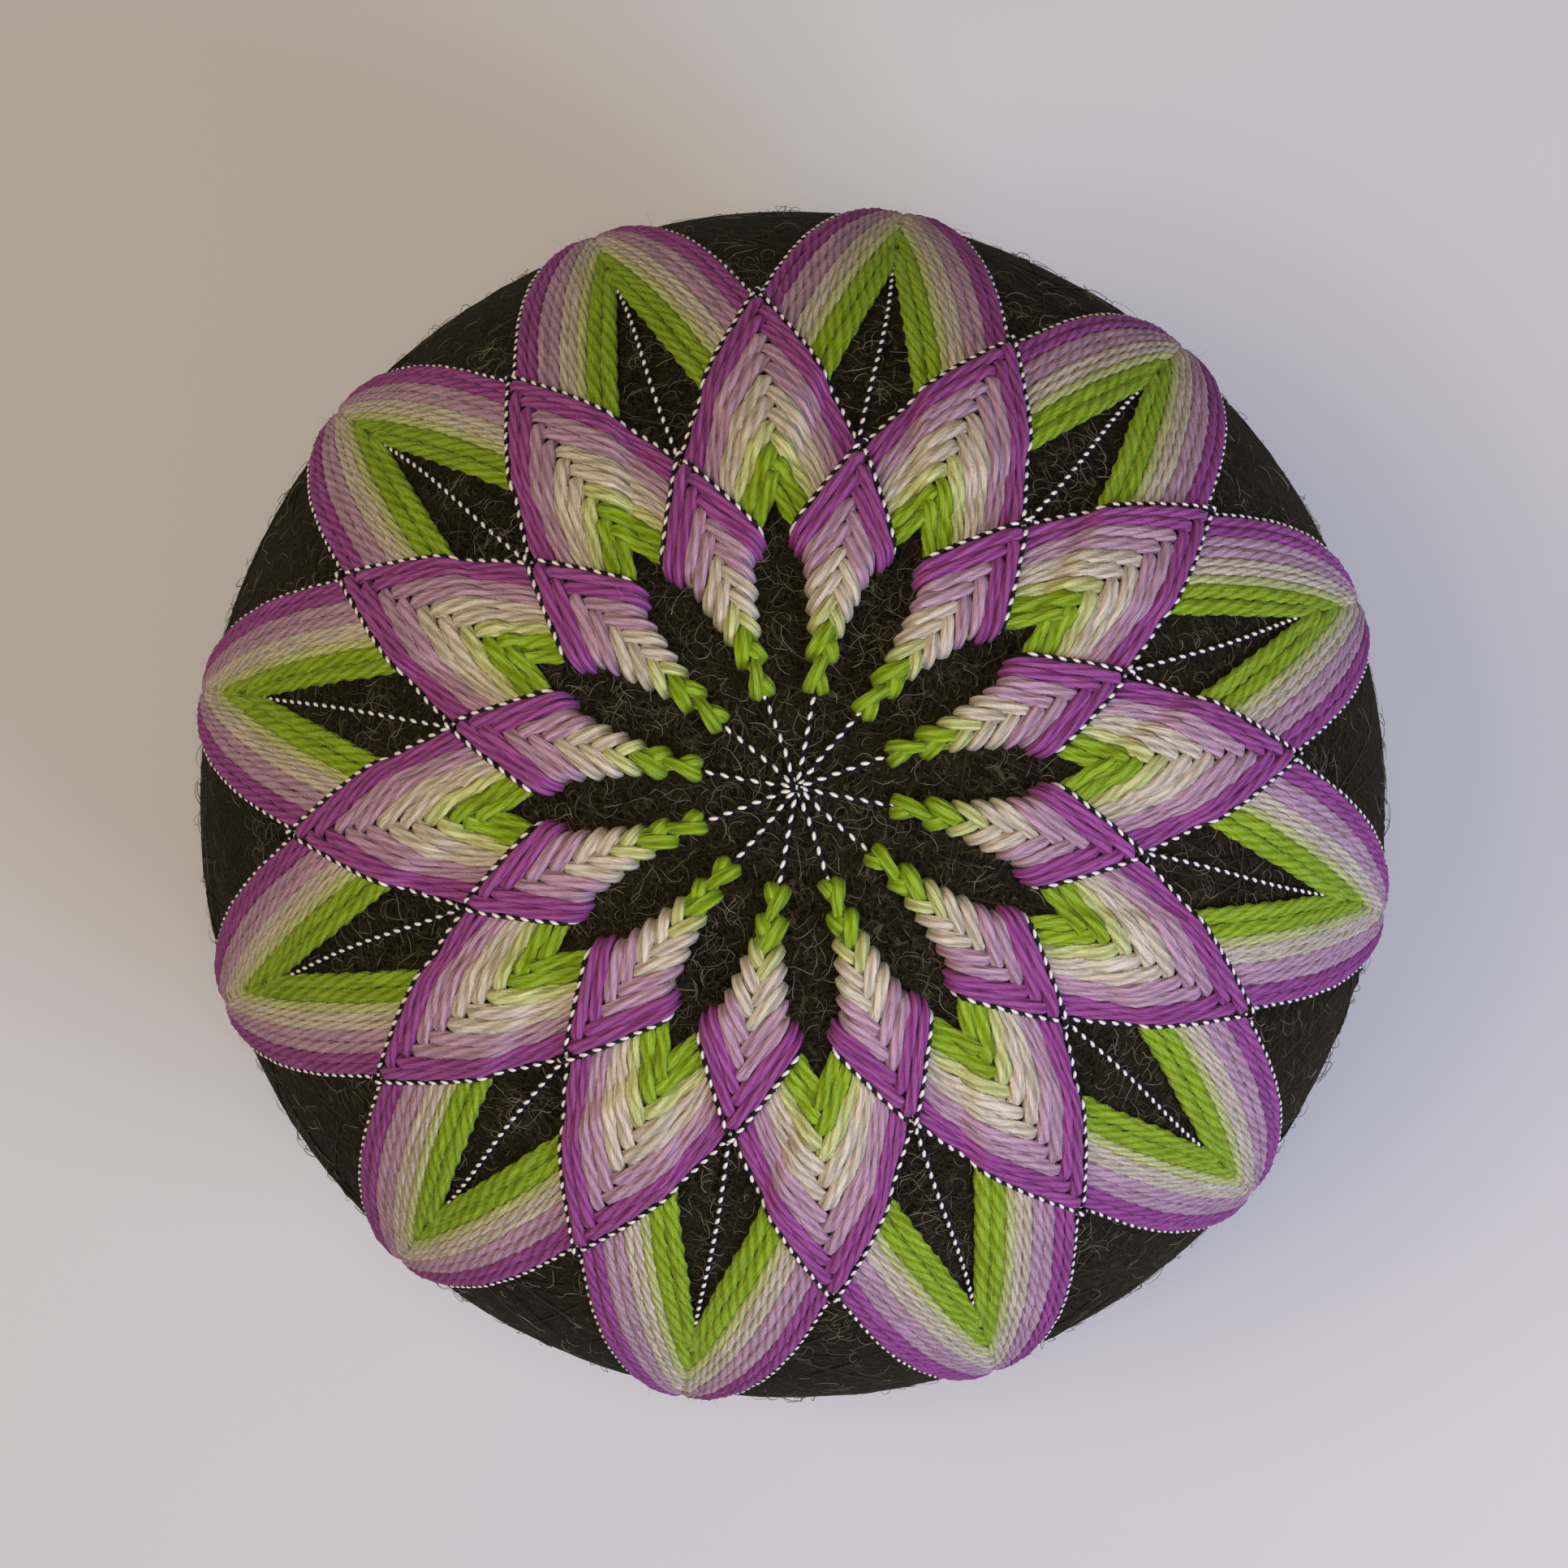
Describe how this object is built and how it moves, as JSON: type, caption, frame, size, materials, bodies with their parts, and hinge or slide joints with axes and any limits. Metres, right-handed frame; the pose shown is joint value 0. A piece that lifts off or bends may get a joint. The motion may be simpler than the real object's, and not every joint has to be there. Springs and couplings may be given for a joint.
{
  "type": "temari ball",
  "caption": "Thread-wound ball with a stitched chrysanthemum of interlaced stars round one pole, standing on a small flat spot.",
  "frame": {"origin": "centre of the flat spot that the ball stands on", "axes": "+Z from the flat spot through the middle of the stitched flower, +Y along one of the twelve marking lines"},
  "size_m": [0.0772, 0.0772, 0.0763],
  "materials": {
    "wrap": "dark brown fuzzy wool thread, wound all over",
    "marking": "two-ply black and ivory thread",
    "green": "soft two-ply cotton, leaf green",
    "cream": "soft two-ply cotton, cream",
    "lilac": "soft two-ply cotton, lilac",
    "purple": "soft two-ply cotton, purple"
  },
  "bodies": {
    "root": {"wound_ball": "wrap", "marking_threads": "marking", "first_star_green": "green", "first_star_cream": "cream", "first_star_lilac": "lilac", "first_star_purple": "purple", "second_star_green": "green", "second_star_cream": "cream", "second_star_lilac": "lilac", "second_star_purple": "purple"}
  },
  "joints": []
}
